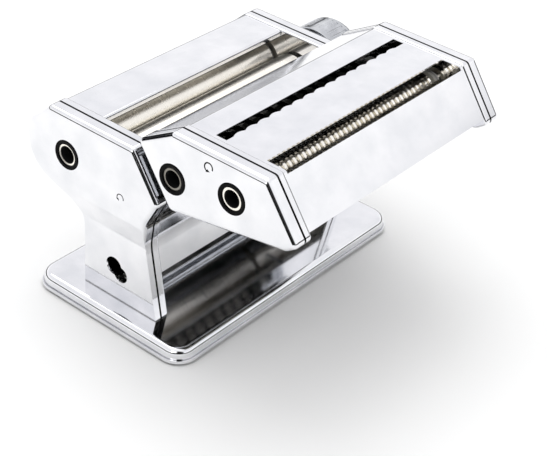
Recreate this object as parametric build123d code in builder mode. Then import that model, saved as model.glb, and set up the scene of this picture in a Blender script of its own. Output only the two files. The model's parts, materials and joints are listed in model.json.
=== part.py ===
"""Hand-cranked pasta roller machine with a lift-off twin cutter head.

Frame: X runs along the rollers, with the crank side at -X and the regulator knob at +X.
-Y is the front, where the cutter head hangs. +Z is up. The origin is the middle of the
underside. Everything is in millimetres. Round parts on an axis along X are written as
(y, z) centres, and the pressed side plates as (y, z) outlines.
"""
from build123d import *
import math
import os

os.makedirs("parts", exist_ok=True)

# ---------------------------------------------------------------- driving dimensions
BASE_X, BASE_Y, BASE_TOP = 204.0, 119.0, 10.0
PAD_HEIGHT, RIM_START = 2.4, 1.2
SHEET = 1.0

WEB_IN = 77.3            # inner face of the main frames, either side of the middle
FRAME_GAUGE = 1.5
FRAME_OPEN = 82.3        # free edge of the frames' flange
COVER_OPEN = 83.7        # free edge of the outer covers' flange
COVER_FACE = 91.5        # outer face of the covers round the rollers
LEG_FACE = 87.7          # the leg is pressed further in
EDGE_ROUND = 3.2

CUT_WEB_IN = 81.0        # the same four planes on the cutter head
CUT_FRAME_OPEN = 85.3
CUT_COVER_OPEN = 86.7
CUT_COVER_FACE = 94.7

ROLLER_HALF = 75.0
ROLLER_R = 13.9
REAR_AXIS = (40.5, 94.0)
FRONT_AXIS = (12.5, 94.0)
JOURNAL_R = 7.5
RUNNING = 0.05           # radial clearance of every journal in its bush
DIAL_OFFSET = 1.3        # eccentricity of the regulator cam

CUT_R, CUT_CORE_R = 10.0, 8.2
CUT_SPACING = 18.6
WIDE_AXIS = (-42.5, 117.6)
NARROW_AXIS = (-83.3, 124.6)
CUT_DRIVE_R, CUT_IDLE_R = 7.0, 5.0
WIDE_PITCH, WIDE_RING, WIDE_COUNT = 9.6, 4.55, 15
NARROW_PITCH, NARROW_RING, NARROW_COUNT = 4.0, 1.85, 37

SOCKET_R, SOCKET_DEPTH = 5.5, 18.0
CUT_SOCKET_R, CUT_SOCKET_DEPTH = 5.2, 16.0
CRANK_HOLE_R = 9.0

# Main side outline: each corner as (y, z, corner radius)
MAIN_SIDE = [
    (55.0, 120.0, 3.0), (73.8, 103.0, 5.0), (73.8, 75.8, 25.0), (30.0, 61.6, 18.0),
    (30.0, BASE_TOP, 0.6), (-27.5, BASE_TOP, 0.6), (-18.0, 57.0, 30.0), (-20.0, 74.0, 16.0),
    (-29.3, 91.5, 3.0), (-9.5, 120.0, 3.0),
]
CUT_SIDE = [
    (-41.0, 145.3, 3.0), (-16.0, 130.8, 3.0), (-40.6, 96.3, 4.0), (-119.5, 109.2, 6.0),
    (-127.0, 114.5, 3.0), (-104.5, 145.3, 3.0),
]


# ---------------------------------------------------------------- helpers
def save(piece, name):
    """Label a finished piece and write its own STEP file."""
    piece.label = name
    export_step(piece, f"parts/{name}.step")


def outline_solid(corners, x_start, x_end, inset=0.0):
    """The (y, z) outline with rounded corners, carried from x_start to x_end."""
    with BuildPart() as block:
        with BuildSketch(Plane.YZ.offset(min(x_start, x_end))):
            with BuildLine():
                FilletPolyline(*[(y, z) for y, z, r in corners],
                               radius=[r for y, z, r in corners], close=True)
            make_face()
            if inset:
                offset(amount=-inset, kind=Kind.INTERSECTION)
        extrude(amount=abs(x_end - x_start))
    return block.part


def pressed_block(corners, x_open, x_face, inset, round_r, leg_face=None):
    """Near-side block under a pressing: its outer face is rounded, and set back in the leg."""
    with BuildPart() as block:
        add(outline_solid(corners, -x_open, -x_face, inset))
        fillet(block.edges().filter_by_position(Axis.X, -x_face - 0.01, -x_face + 0.01), round_r)
        if leg_face:
            with BuildSketch(Plane.XZ.offset(-100)) as recess:
                with BuildLine():
                    Polyline((-leg_face, 0), (-x_face - 1, 0), (-x_face - 1, 75.5),
                             (-x_face, 71.5), (-leg_face, 56.5), close=True)
                make_face()
            extrude(recess.sketch, amount=200, mode=Mode.SUBTRACT)
            add(pressed_block(corners, x_open, leg_face, inset, round_r))
    return block.part


def pressed_tray(corners, x_open, x_face, gauge, round_r, leg_face=None):
    """A sheet-metal tray on the near side: the block less the same block inside it."""
    with BuildPart() as tray:
        add(pressed_block(corners, x_open, x_face, 0, round_r, leg_face))
        inner_leg = leg_face - gauge if leg_face else None
        add(pressed_block(corners, x_open - 1, x_face - gauge, gauge,
                          max(round_r - gauge, 0.4), inner_leg), mode=Mode.SUBTRACT)
    return tray.part


def frame_tray(corners, web_in, x_open):
    """A frame on the near side: a flat web with its flange bent outwards."""
    with BuildPart() as tray:
        add(outline_solid(corners, -web_in, -x_open))
        add(outline_solid(corners, -web_in - FRAME_GAUGE, -x_open - 1, FRAME_GAUGE),
            mode=Mode.SUBTRACT)
        rim = tray.edges().filter_by_position(Axis.X, -web_in - 0.01, -web_in + 0.01)
        fillet(rim, FRAME_GAUGE * 0.8)
    return tray.part


def turned(centre, profile):
    """Revolve (x, radius) points about the line through centre along X."""
    plane = Plane(origin=(0, *centre), x_dir=(1, 0, 0), z_dir=(0, -1, 0))
    with BuildPart() as body:
        with BuildSketch(plane):
            with BuildLine():
                Polyline(*profile, close=True)
            make_face()
        revolve(axis=Axis((0, *centre), (1, 0, 0)))
    return body.part


def drilled(x_from, x_to, centre, radius):
    """Cut a round hole along X in the part being built."""
    with BuildSketch(Plane.YZ.offset(x_from)) as hole:
        with Locations(centre):
            Circle(radius)
    extrude(hole.sketch, amount=x_to - x_from, mode=Mode.SUBTRACT)


def rods(centres, radius, x_from, x_to):
    """Add round bars along X to the part being built."""
    with BuildSketch(Plane.YZ.offset(x_from)) as ends:
        with Locations(*centres):
            Circle(radius)
    extrude(ends.sketch, amount=x_to - x_from)


def bent_sheet(points, radii, half_width, gauge=SHEET, side=Side.RIGHT):
    """A strip of sheet bent along (y, z) points, across the machine."""
    with BuildPart() as strip:
        with BuildSketch(Plane.YZ.offset(-half_width)):
            with BuildLine():
                FilletPolyline(*points, radius=radii)
                offset(amount=gauge, side=side)
            make_face()
        extrude(amount=2 * half_width)
    return strip.part


def gear(centre, teeth, radii, widths, bore_r, x_from, thickness, turn=0.0):
    """A spur gear with long teeth. radii and widths are at the root, pitch and tip."""
    root_r, pitch_r, tip_r = radii
    root_w, pitch_w, tip_w = widths
    tooth = [(root_r - 0.5, -root_w / 2), (pitch_r, -pitch_w / 2), (tip_r, -tip_w / 2),
             (tip_r, tip_w / 2), (pitch_r, pitch_w / 2), (root_r - 0.5, root_w / 2)]
    with BuildPart() as wheel:
        with BuildSketch(Plane.YZ.offset(x_from)):
            with Locations(centre):
                Circle(root_r)
                with PolarLocations(0, teeth, start_angle=turn):
                    Polygon(*tooth, align=None)
                Circle(bore_r, mode=Mode.SUBTRACT)
        extrude(amount=thickness)
    return wheel.part


def along(centre, distance, angle):
    """The point at a distance from centre, at an angle in degrees from +Y."""
    turn = math.radians(angle)
    return (centre[0] + distance * math.cos(turn), centre[1] + distance * math.sin(turn))


# The cutter rolls lie on a line that rises a little towards the front.
ROLL_LINE = math.degrees(math.atan2(NARROW_AXIS[1] - WIDE_AXIS[1], NARROW_AXIS[0] - WIDE_AXIS[0]))
WIDE_IDLE = along(WIDE_AXIS, CUT_SPACING, ROLL_LINE)
NARROW_IDLE = along(NARROW_AXIS, CUT_SPACING, ROLL_LINE)

# ---------------------------------------------------------------- base
with BuildPart() as base_plate:
    with BuildSketch(Plane.XY.offset(RIM_START)):
        RectangleRounded(BASE_X - 2, BASE_Y - 2, 12)
    extrude(amount=BASE_TOP - RIM_START)
    fillet(base_plate.faces().sort_by(Axis.Z)[-1].edges(), 4.0)
    offset(amount=-SHEET, openings=base_plate.faces().sort_by(Axis.Z)[0])
    with BuildSketch(Plane.XY.offset(RIM_START)):
        RectangleRounded(BASE_X, BASE_Y, 13)
        RectangleRounded(BASE_X - 2.4, BASE_Y - 2.4, 11.8, mode=Mode.SUBTRACT)
    extrude(amount=2.0)
    BASE_SCREWS = [(x, y) for x in (-82.7, 82.7) for y in (-14.0, 17.0)]
    with BuildSketch(Plane.XY.offset(BASE_TOP - 2)):
        with Locations(*BASE_SCREWS):
            Circle(2.1)
    extrude(amount=3, mode=Mode.SUBTRACT)
save(base_plate.part, "base_plate")

with BuildPart() as base_pad:
    with BuildSketch():
        RectangleRounded(BASE_X - 2 - 2 * SHEET - 0.6, BASE_Y - 2 - 2 * SHEET - 0.6, 10.7)
    extrude(amount=PAD_HEIGHT)
save(base_pad.part, "base_rubber_pad")

FOOT_TOP = BASE_TOP + FRAME_GAUGE
with BuildPart() as base_screws:
    for low, high, radius in ((5.8, BASE_TOP - SHEET, 4.0), (BASE_TOP - SHEET, FOOT_TOP + 3.4, 2.0)):
        with BuildSketch(Plane.XY.offset(low)):
            with Locations(*BASE_SCREWS):
                Circle(radius)
        extrude(amount=high - low)
save(base_screws.part, "base_screws")

with BuildPart() as base_nuts:
    with BuildSketch(Plane.XY.offset(FOOT_TOP)):
        with Locations(*BASE_SCREWS):
            RegularPolygon(3.6, 6)
            Circle(2.0, mode=Mode.SUBTRACT)
    extrude(amount=2.6)
save(base_nuts.part, "base_nuts")

# ---------------------------------------------------------------- main frames and covers
TIE_RODS = [(62.0, 84.0), (58.0, 108.0), (-12.0, 98.0), (3.0, 20.0)]
SPIGOT_R = 2.5
SCRAPER_ROD = (49.0, 76.0)
BLOCK_Y, BLOCK_Z = 18.0, 18.0
BLOCK_SLOT_Y = (FRONT_AXIS[0] - BLOCK_Y / 2 - 2.9, FRONT_AXIS[0] + BLOCK_Y / 2 + 0.3)
BUSH_R = 10.0
CLAMP_LOBES = [((6.4, 32.4), 6.0), ((1.0, 28.6), 5.2)]


def main_frame():
    """One main frame, on the near side."""
    with BuildPart() as frame:
        add(frame_tray(MAIN_SIDE, WEB_IN, FRAME_OPEN))
        with Locations((-(WEB_IN + LEG_FACE - 2) / 2, 1.5, BASE_TOP + FRAME_GAUGE / 2)):
            Box(LEG_FACE - 2 - WEB_IN, 44, FRAME_GAUGE)
        low, high = BLOCK_SLOT_Y
        with Locations((-WEB_IN, (low + high) / 2, FRONT_AXIS[1])):
            Box(8, high - low, BLOCK_Z + 0.3, mode=Mode.SUBTRACT)
        drilled(-WEB_IN - 3, -WEB_IN + 1, REAR_AXIS, BUSH_R)
        drilled(-WEB_IN - 3, -WEB_IN + 1, SCRAPER_ROD, SPIGOT_R)
        for rod in TIE_RODS:
            drilled(-WEB_IN - 3, -WEB_IN + 1, rod, SPIGOT_R)
        with BuildSketch(Plane.XY.offset(BASE_TOP - 1)):
            with Locations(*BASE_SCREWS):
                Circle(2.1)
        extrude(amount=4, mode=Mode.SUBTRACT)
    return frame.part


with BuildPart() as near_frame:
    add(main_frame())
    for centre, radius in CLAMP_LOBES:
        drilled(-WEB_IN - 3, -WEB_IN + 1, centre, radius + 0.6)
save(near_frame.part, "near_inner_frame")

with BuildPart() as far_frame:
    mirror(main_frame(), about=Plane.YZ)
save(far_frame.part, "far_inner_frame")

with BuildPart() as main_cover:
    add(pressed_tray(MAIN_SIDE, COVER_OPEN, COVER_FACE, SHEET, EDGE_ROUND, LEG_FACE))
    with Locations((-(COVER_OPEN + LEG_FACE - 1.1) / 2, 1.5, BASE_TOP)):
        Box(LEG_FACE - 1.1 - COVER_OPEN + 0.4, 45, 4, mode=Mode.SUBTRACT)

with BuildPart() as near_cover:
    add(main_cover.part)
    drilled(-COVER_FACE - 1, -COVER_FACE + 3, REAR_AXIS, CRANK_HOLE_R)
    for centre, radius in CLAMP_LOBES:
        drilled(-LEG_FACE - 1, -LEG_FACE + 3, centre, radius)
save(near_cover.part, "near_outer_cover")

KNOB_HOLE_R = 6.0
with BuildPart() as far_cover:
    mirror(main_cover.part, about=Plane.YZ)
    drilled(COVER_FACE - 3, COVER_FACE + 1, FRONT_AXIS, KNOB_HOLE_R)
save(far_cover.part, "far_outer_cover")

TOP_Z = 119.2
rear_cover = bent_sheet([(25, 115.8), (25, TOP_Z), (54.7, TOP_Z), (73.1, 102.6), (73.1, 95.4)],
                        [1.4, 3, 5], WEB_IN - 0.1)
save(rear_cover, "rear_top_cover")
rear_guard = bent_sheet([(73.1, 95.0), (73.1, 76.3), (29.3, 62.1), (29.3, 36.0)],
                        [24.3, 17.3], WEB_IN - 0.1)
save(rear_guard, "rear_lower_guard")
front_cover = bent_sheet([(-4, 115.8), (-4, TOP_Z), (-9.2, TOP_Z), (-28.4, 91.6)],
                         [1.4, 2.4], WEB_IN - 0.1, side=Side.LEFT)
save(front_cover, "front_top_cover")
front_guard = bent_sheet([(-27.6, 89.8), (-19.3, 73.8), (-17.3, 57.0), (-21.4, 37.0)],
                         [16.5, 29.5], WEB_IN - 0.1, side=Side.LEFT)
save(front_guard, "front_lower_guard")

with BuildPart() as tie_rods:
    rods(TIE_RODS, 4.0, -WEB_IN, WEB_IN)
    rods(TIE_RODS, SPIGOT_R, -WEB_IN - 4.6, WEB_IN + 4.6)
save(tie_rods.part, "frame_tie_rods")

with BuildPart() as tie_nuts:
    for start in (-WEB_IN - FRAME_GAUGE - 2.6, WEB_IN + FRAME_GAUGE):
        with BuildSketch(Plane.YZ.offset(start)):
            with Locations(*TIE_RODS):
                RegularPolygon(4.6, 6)
                Circle(SPIGOT_R, mode=Mode.SUBTRACT)
        extrude(amount=2.6)
save(tie_nuts.part, "tie_rod_nuts")

# ---------------------------------------------------------------- rear roller
BUSH_END = WEB_IN + FRAME_GAUGE + 1.6
with BuildPart() as rear_bushes:
    for side, shaft in ((-1, JOURNAL_R), (1, JOURNAL_R - 0.5)):
        bore = shaft + RUNNING
        profile = [(WEB_IN - 1.0, bore), (BUSH_END, bore), (BUSH_END, BUSH_R), (WEB_IN, BUSH_R),
                   (WEB_IN, BUSH_R + 1.5), (WEB_IN - 1.0, BUSH_R + 1.5)]
        add(turned(REAR_AXIS, [(side * x, r) for x, r in profile]))
save(rear_bushes.part, "rear_roller_bushes")

CHAMBER_R = 11.4
SOCKET_MOUTH = -COVER_FACE + 0.3
SOCKET_END = SOCKET_MOUTH + SOCKET_DEPTH
FAR_END = 82.2
rear_roller = turned(REAR_AXIS, [
    (SOCKET_MOUTH, SOCKET_R), (SOCKET_MOUTH, JOURNAL_R), (-ROLLER_HALF, JOURNAL_R),
    (-ROLLER_HALF, ROLLER_R), (ROLLER_HALF, ROLLER_R), (ROLLER_HALF, JOURNAL_R - 0.5),
    (FAR_END, JOURNAL_R - 0.5), (FAR_END, 4), (ROLLER_HALF - 3, 4), (ROLLER_HALF - 3, CHAMBER_R),
    (SOCKET_END + 4, CHAMBER_R), (SOCKET_END + 4, 0), (SOCKET_END, 0), (SOCKET_END, SOCKET_R)])
with BuildPart() as rear_roller_part:
    add(rear_roller)
    with Locations((SOCKET_END + 1.5, *REAR_AXIS)):
        Box(3.2, 9.0, 3.0, mode=Mode.SUBTRACT)
save(rear_roller_part.part, "rear_roller")

GEAR_TEETH = 12
GEAR_RADII = (11.2, 14.0, 16.5)
GEAR_WIDTHS = (4.1, 2.75, 1.35)
GEAR_X, GEAR_THICK = -88.3, 5.4
save(gear(REAR_AXIS, GEAR_TEETH, GEAR_RADII, GEAR_WIDTHS, JOURNAL_R, GEAR_X, GEAR_THICK),
     "rear_roller_gear")

with BuildPart() as rear_scraper:
    rods([SCRAPER_ROD], 3.0, -WEB_IN, WEB_IN)
    rods([SCRAPER_ROD], SPIGOT_R, -WEB_IN - FRAME_GAUGE, WEB_IN + FRAME_GAUGE)
    with BuildSketch(Plane.YZ.offset(-ROLLER_HALF)):
        Polygon((36.3, 80.2), (47.2, 75.4), (47.2, 74.4), (36.3, 79.4), align=None)
    extrude(amount=2 * ROLLER_HALF)
save(rear_scraper.part, "rear_scraper")

# ---------------------------------------------------------------- front roller and its carriage
CARRIAGE_BAR = (4.0, 76.0)
PLATE_Y, PLATE_Z = 24.0, 26.0
CAM_R = 8.0
CAM_AXIS = (FRONT_AXIS[0] + DIAL_OFFSET, FRONT_AXIS[1])
CAM_X = (84.0, 87.6)
WINDOW_Y, WINDOW_Z = 2 * CAM_R + 0.9, 2 * CAM_R + 2 * DIAL_OFFSET + 1.0


def x_box(x_from, x_to, centre, size_y, size_z, mode=Mode.ADD):
    """A box between two X planes, round a (y, z) centre, in the part being built."""
    with Locations(((x_from + x_to) / 2, *centre)):
        Box(x_to - x_from, size_y, size_z, mode=mode)


def bearing_block(outer_x):
    """The far-side sliding block of the front roller, out to outer_x."""
    with BuildPart() as block:
        x_box(WEB_IN - 1.7, outer_x, FRONT_AXIS, BLOCK_Y, BLOCK_Z)
        x_box(WEB_IN + FRAME_GAUGE + 0.3, outer_x, CAM_AXIS, PLATE_Y, PLATE_Z)
        x_box(WEB_IN - 1.7, WEB_IN - 0.3, (9.5, 87.5), 25.0, 33.0)
        drilled(WEB_IN - 3, outer_x + 1, FRONT_AXIS, JOURNAL_R + RUNNING)
        drilled(WEB_IN - 3, WEB_IN, CARRIAGE_BAR, SPIGOT_R)
    return block.part


with BuildPart() as near_block:
    mirror(bearing_block(FAR_END), about=Plane.YZ)
save(near_block.part, "near_bearing_block")

YOKE_END = 87.9
with BuildPart() as far_block:
    add(bearing_block(CAM_X[0] - 0.6))
    x_box(CAM_X[0] - 0.6, YOKE_END, CAM_AXIS, PLATE_Y, PLATE_Z)
    x_box(CAM_X[0] - 0.6, YOKE_END + 1, CAM_AXIS, WINDOW_Y, WINDOW_Z, mode=Mode.SUBTRACT)
save(far_block.part, "far_bearing_block")

with BuildPart() as carriage_bar:
    rods([CARRIAGE_BAR], 3.0, -WEB_IN + 1.7, WEB_IN - 1.7)
    rods([CARRIAGE_BAR], SPIGOT_R, -WEB_IN + 0.3, WEB_IN - 0.3)
save(carriage_bar.part, "carriage_tie_bar")

with BuildPart() as front_scraper:
    with BuildSketch(Plane.YZ.offset(-ROLLER_HALF + 1)):
        Polygon((16.7, 80.2), (3.4, 74.4), (3.4, 73.5), (16.7, 79.3), align=None)
        with Locations(CARRIAGE_BAR):
            Circle(4.2)
            Circle(3.0, mode=Mode.SUBTRACT)
    extrude(amount=2 * ROLLER_HALF - 2)
save(front_scraper.part, "front_scraper")

save(turned(FRONT_AXIS, [
    (-88.6, 0), (-88.6, JOURNAL_R), (-ROLLER_HALF, JOURNAL_R), (-ROLLER_HALF, ROLLER_R),
    (ROLLER_HALF, ROLLER_R), (ROLLER_HALF, JOURNAL_R), (FAR_END, JOURNAL_R), (FAR_END, 4),
    (ROLLER_HALF - 3, 4), (ROLLER_HALF - 3, CHAMBER_R), (3 - ROLLER_HALF, CHAMBER_R),
    (3 - ROLLER_HALF, 0)]), "front_roller")
save(gear(FRONT_AXIS, GEAR_TEETH, GEAR_RADII, GEAR_WIDTHS, JOURNAL_R, GEAR_X, GEAR_THICK,
          turn=180 / GEAR_TEETH), "front_roller_gear")

# ---------------------------------------------------------------- thickness regulator
SHAFT_R = 4.0
INDEX_FACE = COVER_FACE + 3.0
PIN_RING_R, PIN_R = 15.0, 1.8
STEP_ANGLE, STEP_COUNT = 20.0, 9
PIN_ANGLE = 90.0
SHAFT_END = 116.0
with BuildPart() as index_ring:
    add(turned(FRONT_AXIS, [
        (COVER_FACE - 2.2, SHAFT_R + RUNNING), (COVER_FACE - 2.2, KNOB_HOLE_R),
        (COVER_FACE, KNOB_HOLE_R), (COVER_FACE, 18.5), (INDEX_FACE - 0.6, 18.5),
        (INDEX_FACE, 17.9), (INDEX_FACE, SHAFT_R + RUNNING)]))
    with BuildSketch(Plane.YZ.offset(INDEX_FACE)):
        with Locations(*[along(FRONT_AXIS, PIN_RING_R, PIN_ANGLE + STEP_ANGLE * step)
                         for step in range(STEP_COUNT)]):
            Circle(PIN_R + 0.4)
    extrude(amount=-1.6, mode=Mode.SUBTRACT)
save(index_ring.part, "index_ring")

with BuildPart() as dial_shaft:
    rods([CAM_AXIS], CAM_R, *CAM_X)
    add(turned(FRONT_AXIS, [(CAM_X[1], 0), (CAM_X[1], 6.0), (COVER_FACE - 2.4, 6.0),
                            (COVER_FACE - 2.4, SHAFT_R), (SHAFT_END, SHAFT_R), (SHAFT_END, 0)]))
    x_box(97.0, SHAFT_END, (FRONT_AXIS[0], FRONT_AXIS[1] + SHAFT_R - 0.3), 8, 1.4, Mode.SUBTRACT)
save(dial_shaft.part, "regulator_cam_shaft")

KNOB_START, KNOB_END, KNOB_R = 95.6, 118.0, 24.5
FLOOR = (101.0, 104.5)
POCKET_R = 10.5
with BuildPart() as knob:
    add(turned(FRONT_AXIS, [
        (KNOB_START, 18.9), (KNOB_START, KNOB_R - 0.6), (KNOB_START + 0.6, KNOB_R),
        (KNOB_END - 2.0, KNOB_R), (KNOB_END - 0.6, KNOB_R - 0.6), (KNOB_END, KNOB_R - 2.0),
        (KNOB_END, POCKET_R), (FLOOR[1], POCKET_R), (FLOOR[1], SHAFT_R + 0.3),
        (FLOOR[0], SHAFT_R + 0.3), (FLOOR[0], 9.0), (KNOB_START + 0.6, 9.0),
        (KNOB_START + 0.6, 11.0), (FLOOR[0], 11.0), (FLOOR[0], 18.9)]))
    drilled(FLOOR[0] - 1, FLOOR[1] - 0.5, along(FRONT_AXIS, PIN_RING_R, PIN_ANGLE), PIN_R)
    with BuildSketch(Plane.YZ.offset(KNOB_START + 4)):
        with Locations(FRONT_AXIS):
            with PolarLocations(KNOB_R + 0.55, 40):
                Circle(0.9)
    extrude(amount=KNOB_END - KNOB_START - 8, mode=Mode.SUBTRACT)
save(knob.part, "regulator_knob")

with BuildPart() as detent_pin:
    rods([along(FRONT_AXIS, PIN_RING_R, PIN_ANGLE)], PIN_R, INDEX_FACE + 0.15, FLOOR[1] - 0.5)
    fillet(detent_pin.faces().sort_by(Axis.X)[0].edges(), 0.8)
save(detent_pin.part, "detent_pin")

WASHER = (113.4, 114.8)
save(turned(FRONT_AXIS, [(WASHER[0], SHAFT_R), (WASHER[0], 8.4), (WASHER[1], 8.4),
                         (WASHER[1], SHAFT_R)]), "spring_washer")
save(turned(FRONT_AXIS, [(KNOB_END - 1.0, 0), (KNOB_END - 1.0, POCKET_R), (KNOB_END - 0.2, POCKET_R),
                         (KNOB_END - 0.2, 0)]), "knob_end_cap")

SPRING_WIRE_R, SPRING_R, SPRING_TURNS = 0.5, 6.2, 4
SPRING_SPAN = (FLOOR[1] + SPRING_WIRE_R + 0.05, WASHER[0] - SPRING_WIRE_R - 0.05)
with BuildPart() as knob_spring:
    with BuildLine() as spring_path:
        Helix((SPRING_SPAN[1] - SPRING_SPAN[0]) / SPRING_TURNS, SPRING_SPAN[1] - SPRING_SPAN[0],
              SPRING_R, center=(SPRING_SPAN[0], *FRONT_AXIS), direction=(1, 0, 0))
    with BuildSketch(Plane(origin=spring_path.line @ 0, z_dir=spring_path.line % 0)):
        Circle(SPRING_WIRE_R)
    sweep(is_frenet=True)
save(knob_spring.part, "knob_spring")

# ---------------------------------------------------------------- rails for the cutter head
# The front face of the body leans, so the rails run up and back along it.
LEAN_FOOT, LEAN_HEAD = (-29.3, 91.5), (-9.5, 120.0)
LEAN_LENGTH = math.dist(LEAN_FOOT, LEAN_HEAD)
UP = ((LEAN_HEAD[0] - LEAN_FOOT[0]) / LEAN_LENGTH, (LEAN_HEAD[1] - LEAN_FOOT[1]) / LEAN_LENGTH)
OUT = (-UP[1], UP[0])
FACE_GAP = 0.64          # the front top cover lies this far inside the side outline
RAIL_X = 70.0
RAIL_START, RAIL_LENGTH = 4.0, 26.0
STEM, HEAD = (2.0, 3.2), (7.0, 1.8)


def lean_plane(x, up, out):
    """A plane across the rail: up along the leaning face from its foot, and out from it."""
    y = LEAN_FOOT[0] + UP[0] * up + OUT[0] * (out - FACE_GAP)
    z = LEAN_FOOT[1] + UP[1] * up + OUT[1] * (out - FACE_GAP)
    return Plane(origin=(x, y, z), x_dir=(1, 0, 0), z_dir=(0, *UP))


def lean_box(x, up, out, size_x, length, height, mode=Mode.ADD):
    """A box standing on the leaning face: from up and out, size_x wide, round x."""
    with BuildSketch(lean_plane(x, up, out)) as section:
        with Locations((0, -height / 2)):
            Rectangle(size_x, height)
    extrude(section.sketch, amount=length, mode=mode)


with BuildPart() as cutter_rails:
    for side in (-1, 1):
        lean_box(side * RAIL_X, RAIL_START, 0, STEM[0], RAIL_LENGTH, STEM[1])
        lean_box(side * RAIL_X, RAIL_START, STEM[1], HEAD[0], RAIL_LENGTH, HEAD[1])
        lean_box(side * RAIL_X, RAIL_START - 1.6, 0, 10.0, 1.6, STEM[1] + HEAD[1])
save(cutter_rails.part, "cutter_rails")

BRACKET_LENGTH = 24.0
with BuildPart() as slide_brackets:
    for side in (-1, 1):
        start = RAIL_START + 0.2
        lean_box(side * RAIL_X, start, 0.5, 12.0, BRACKET_LENGTH, 7.3)
        lean_box(side * RAIL_X, start - 1, STEM[1] - 0.3, HEAD[0] + 0.7, BRACKET_LENGTH + 2,
                 HEAD[1] + 0.6, Mode.SUBTRACT)
        lean_box(side * RAIL_X, start - 1, 0, STEM[0] + 0.7, BRACKET_LENGTH + 2, STEM[1],
                 Mode.SUBTRACT)
        lean_box(side * (RAIL_X + 3.0), start, 7.8, 16.0, BRACKET_LENGTH, 1.5)
        lean_box(side * (CUT_WEB_IN - 0.75), start, 7.8, 1.5, BRACKET_LENGTH, 8.0)
save(slide_brackets.part, "cutter_slide_brackets")

# ---------------------------------------------------------------- cutter head body
CUT_BUSH_GAP = 2.5
DRIVE_BUSH_R, IDLE_BUSH_R = CUT_DRIVE_R + CUT_BUSH_GAP, CUT_IDLE_R + CUT_BUSH_GAP
CUT_RODS = [(-29.5, 127.5), (-72.0, 136.5), (-116.0, 118.0)]
DRIVES, IDLES = (WIDE_AXIS, NARROW_AXIS), (WIDE_IDLE, NARROW_IDLE)


def cutter_frame(drive_bush_r):
    """One inner plate of the cutter head, on the near side."""
    with BuildPart() as frame:
        add(frame_tray(CUT_SIDE, CUT_WEB_IN, CUT_FRAME_OPEN))
        span = (-CUT_WEB_IN - 3, -CUT_WEB_IN + 1)
        for centre in DRIVES:
            drilled(*span, centre, drive_bush_r)
        for centre in IDLES:
            drilled(*span, centre, IDLE_BUSH_R)
        for centre in CUT_RODS:
            drilled(*span, centre, SPIGOT_R)
    return frame.part


save(cutter_frame(DRIVE_BUSH_R), "cutter_near_frame")
with BuildPart() as cutter_far_frame:
    mirror(cutter_frame(IDLE_BUSH_R), about=Plane.YZ)
save(cutter_far_frame.part, "cutter_far_frame")

cutter_cover = pressed_tray(CUT_SIDE, CUT_COVER_OPEN, CUT_COVER_FACE, SHEET, EDGE_ROUND)
with BuildPart() as cutter_near_cover:
    add(cutter_cover)
    for centre in DRIVES:
        drilled(-CUT_COVER_FACE - 1, -CUT_COVER_FACE + 3, centre, CRANK_HOLE_R)
save(cutter_near_cover.part, "cutter_near_cover")
with BuildPart() as cutter_far_cover:
    mirror(cutter_cover, about=Plane.YZ)
save(cutter_far_cover.part, "cutter_far_cover")

SLOT_HALF = 78.5
WIDE_SLOT, NARROW_SLOT = (-64.5, -57.2), (-105.4, -91.5)
CUT_TOP = 144.5
with BuildPart() as cutter_top:
    add(bent_sheet([(-19.5, 126.6), (-17.0, 130.6), (-41.1, CUT_TOP), (-104.2, CUT_TOP),
                    (-124.0, 117.4)], [2.0, 3.0, 2.2], CUT_WEB_IN - 0.1, side=Side.LEFT))
    for front, back in (WIDE_SLOT, NARROW_SLOT):
        with Locations((0, (front + back) / 2, CUT_TOP)):
            Box(2 * SLOT_HALF, back - front, 6, mode=Mode.SUBTRACT)
save(cutter_top.part, "cutter_top_cover")

with BuildPart() as cutter_rods:
    rods(CUT_RODS, 3.0, -CUT_WEB_IN, CUT_WEB_IN)
    rods(CUT_RODS, SPIGOT_R, -CUT_WEB_IN - 4.2, CUT_WEB_IN + 4.2)
save(cutter_rods.part, "cutter_tie_rods")
with BuildPart() as cutter_nuts:
    for start in (-CUT_WEB_IN - FRAME_GAUGE - 2.4, CUT_WEB_IN + FRAME_GAUGE):
        with BuildSketch(Plane.YZ.offset(start)):
            with Locations(*CUT_RODS):
                RegularPolygon(4.4, 6)
                Circle(SPIGOT_R, mode=Mode.SUBTRACT)
        extrude(amount=2.4)
save(cutter_nuts.part, "cutter_rod_nuts")

with BuildPart() as cutter_bushes:
    for side in (-1, 1):
        for centre in DRIVES + IDLES:
            drive = side < 0 and centre in DRIVES
            shaft = CUT_DRIVE_R if drive else CUT_IDLE_R
            outer = shaft + CUT_BUSH_GAP
            ends = (CUT_WEB_IN - 2.0, CUT_WEB_IN + FRAME_GAUGE + 1.2)
            add(turned(centre, [(side * ends[0], shaft + RUNNING), (side * ends[1], shaft + RUNNING),
                                (side * ends[1], outer), (side * ends[0], outer)]))
save(cutter_bushes.part, "cutter_bushes")

# ---------------------------------------------------------------- cutter rolls, gears and combs
CUT_GEAR_TEETH = 14
CUT_GEAR_RADII = (8.1, 9.3, 10.3)
CUT_GEAR_WIDTHS = (2.3, 1.85, 1.0)
CUT_GEAR_X, CUT_GEAR_THICK = -92.4, 5.0
CUT_FAR_END = 84.0


def ring_profile(pitch, ring, count, shift):
    """The stepped (x, radius) outline of rings standing out of the core."""
    points = []
    for index in range(count):
        middle = (index - (count - 1) / 2) * pitch + shift
        for x, r in ((-ring / 2, CUT_CORE_R), (-ring / 2, CUT_R), (ring / 2, CUT_R),
                     (ring / 2, CUT_CORE_R)):
            points.append((middle + x, r))
    return points


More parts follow.
